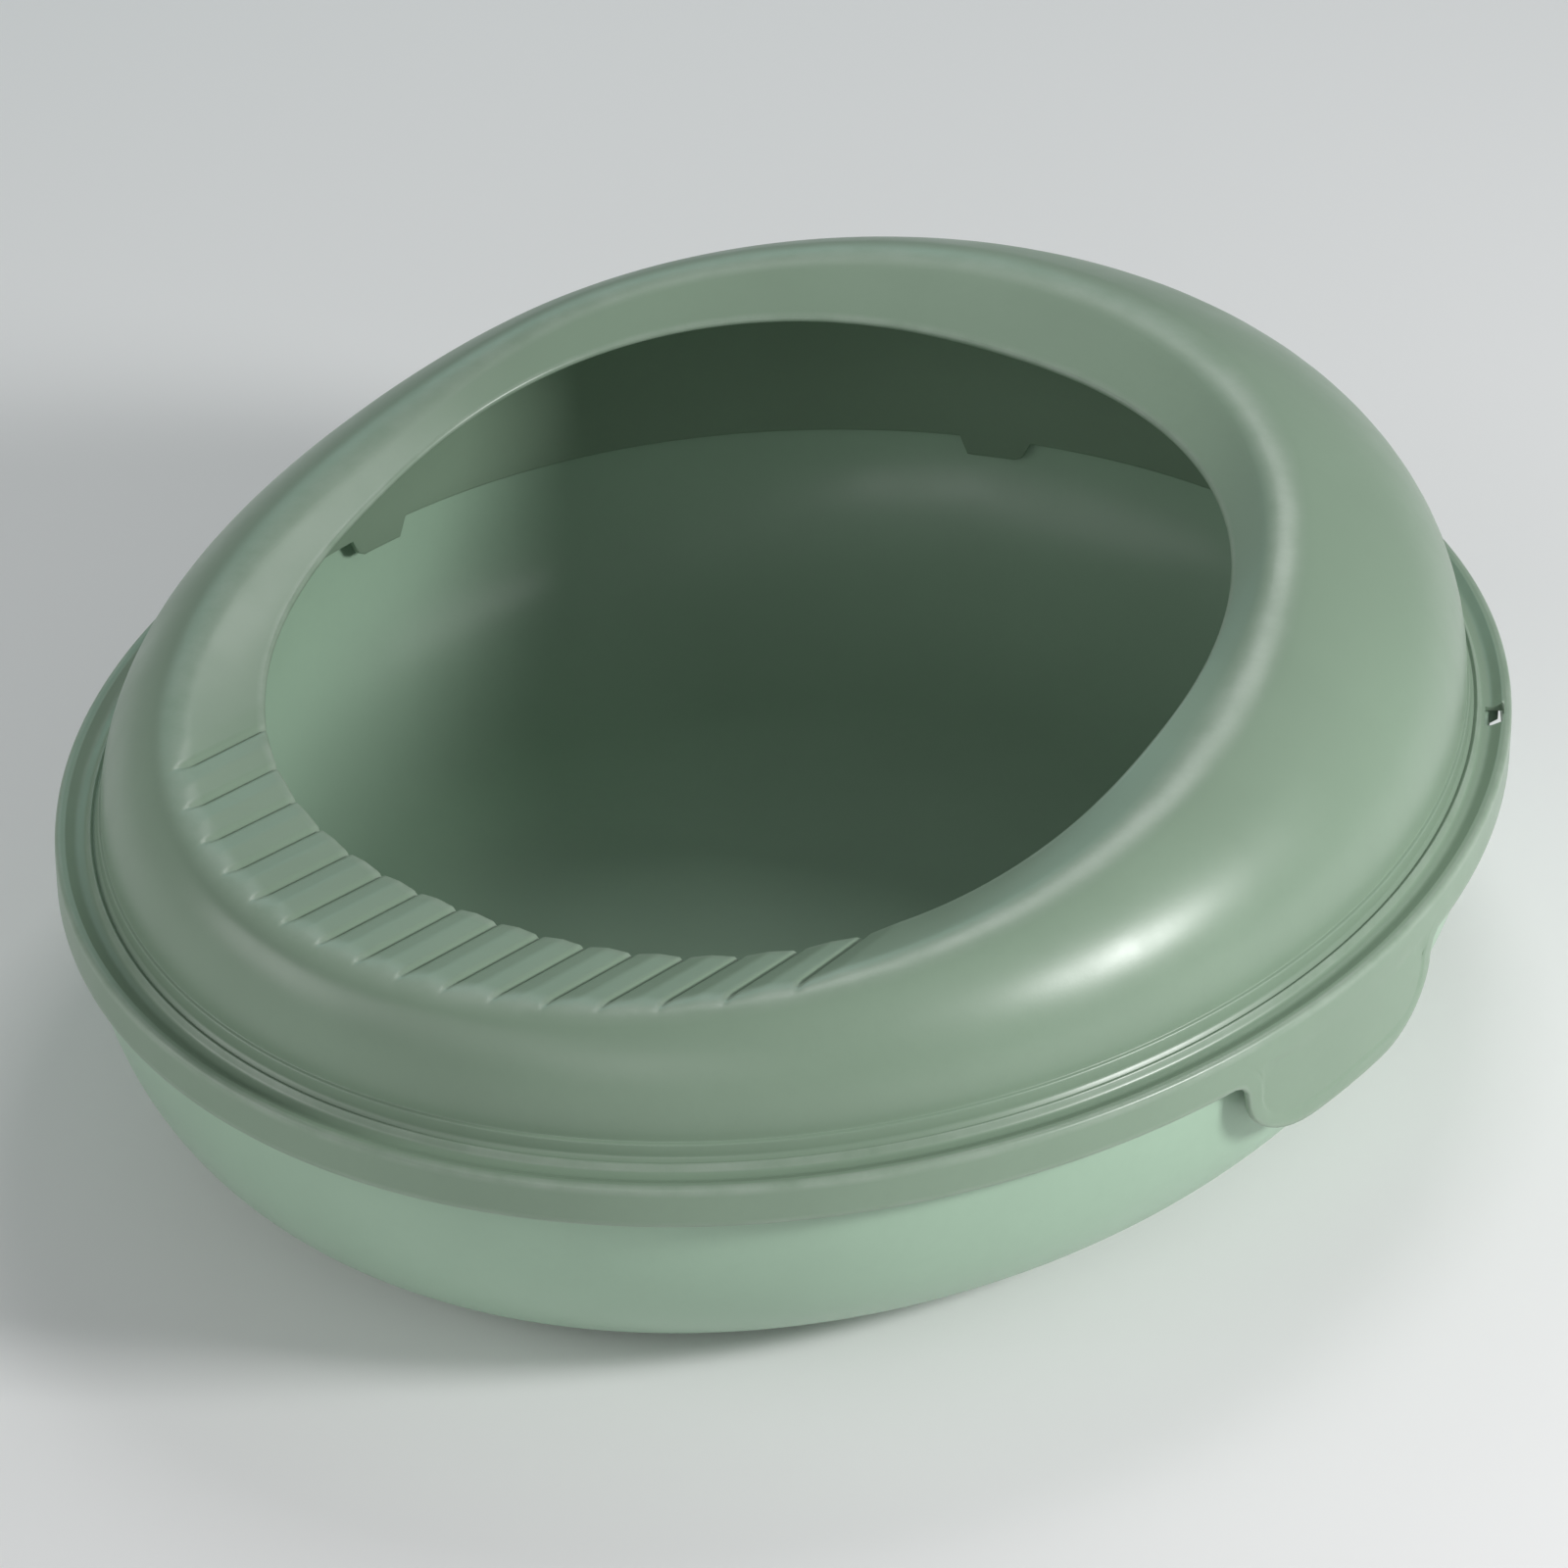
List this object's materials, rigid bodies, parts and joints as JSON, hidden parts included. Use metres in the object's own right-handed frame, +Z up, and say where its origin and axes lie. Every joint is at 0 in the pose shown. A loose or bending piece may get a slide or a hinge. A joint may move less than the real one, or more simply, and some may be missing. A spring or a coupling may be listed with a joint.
{
  "type": "cat litter box with hood",
  "caption": "Semi-closed oval cat litter box: a deep round-bottomed pan under a clip-on domed hood with a slanted top opening and a ribbed front edge.",
  "frame": {"origin": "middle of the base, on the ground the tray stands on", "axes": "+Z up, -Y towards the low front edge where the cat steps in, +X to the right seen from the front"},
  "size_m": [0.424, 0.504, 0.1785],
  "materials": {
    "tray_plastic": "smooth satin moulded polypropylene, light mint green",
    "hood_plastic": "smooth satin moulded polypropylene, sage green"
  },
  "bodies": {
    "tray": {"tray": "tray_plastic"},
    "hood": {"hood": "hood_plastic"}
  },
  "joints": [
    {"name": "hood_lift", "type": "slide", "parent": "tray", "child": "hood", "axis": [0, 0, 1], "range_m": [0, 0.06]}
  ]
}
